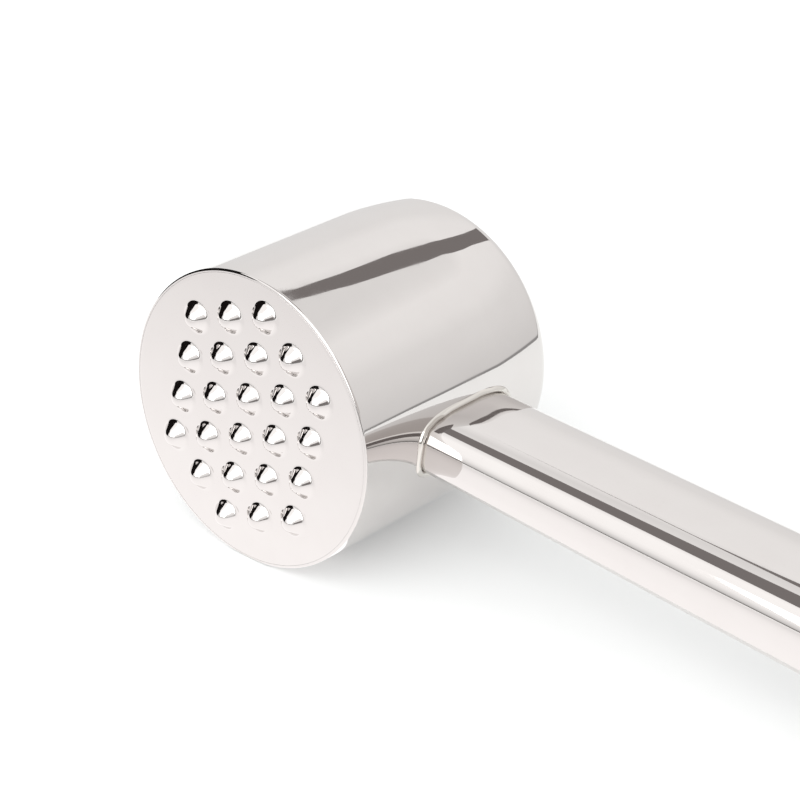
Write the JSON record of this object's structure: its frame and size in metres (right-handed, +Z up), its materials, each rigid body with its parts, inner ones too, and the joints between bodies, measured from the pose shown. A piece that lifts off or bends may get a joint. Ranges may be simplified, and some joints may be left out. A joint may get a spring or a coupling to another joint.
{
  "type": "meat mallet",
  "caption": "All-steel meat mallet: weighted drum head with a studded face and a flat face, on a hollow oval handle with a hanging hole.",
  "frame": {"origin": "on the table, under the middle of the mallet's bounding box", "axes": "+X from the head to the end of the handle, +Y from the studded face to the flat face along the head's axis, +Z up from the table that the head and the handle's end lie on"},
  "size_m": [0.2664, 0.05, 0.05],
  "materials": {
    "polished_steel": "mirror polished stainless steel",
    "weld_steel": "hand polished weld",
    "machined_steel": "machined",
    "screw_steel": "black oxide",
    "weight_steel": "bare turned bar",
    "hard_fibre": "pressed vulcanised fibre"
  },
  "bodies": {
    "root": {"head_shell": "polished_steel", "stud_plate": "polished_steel", "backing_disc": "machined_steel", "head_weight": "weight_steel", "rear_cushion_disc": "hard_fibre", "head_plug": "machined_steel", "lock_washer_front": "machined_steel", "tang_screw_front": "screw_steel", "lock_washer_rear": "machined_steel", "tang_screw_rear": "screw_steel", "handle_tube": "polished_steel", "weld_bead": "weld_steel", "joint_sleeve": "machined_steel", "end_cap": "polished_steel", "hanging_eyelet": "polished_steel"}
  },
  "joints": []
}
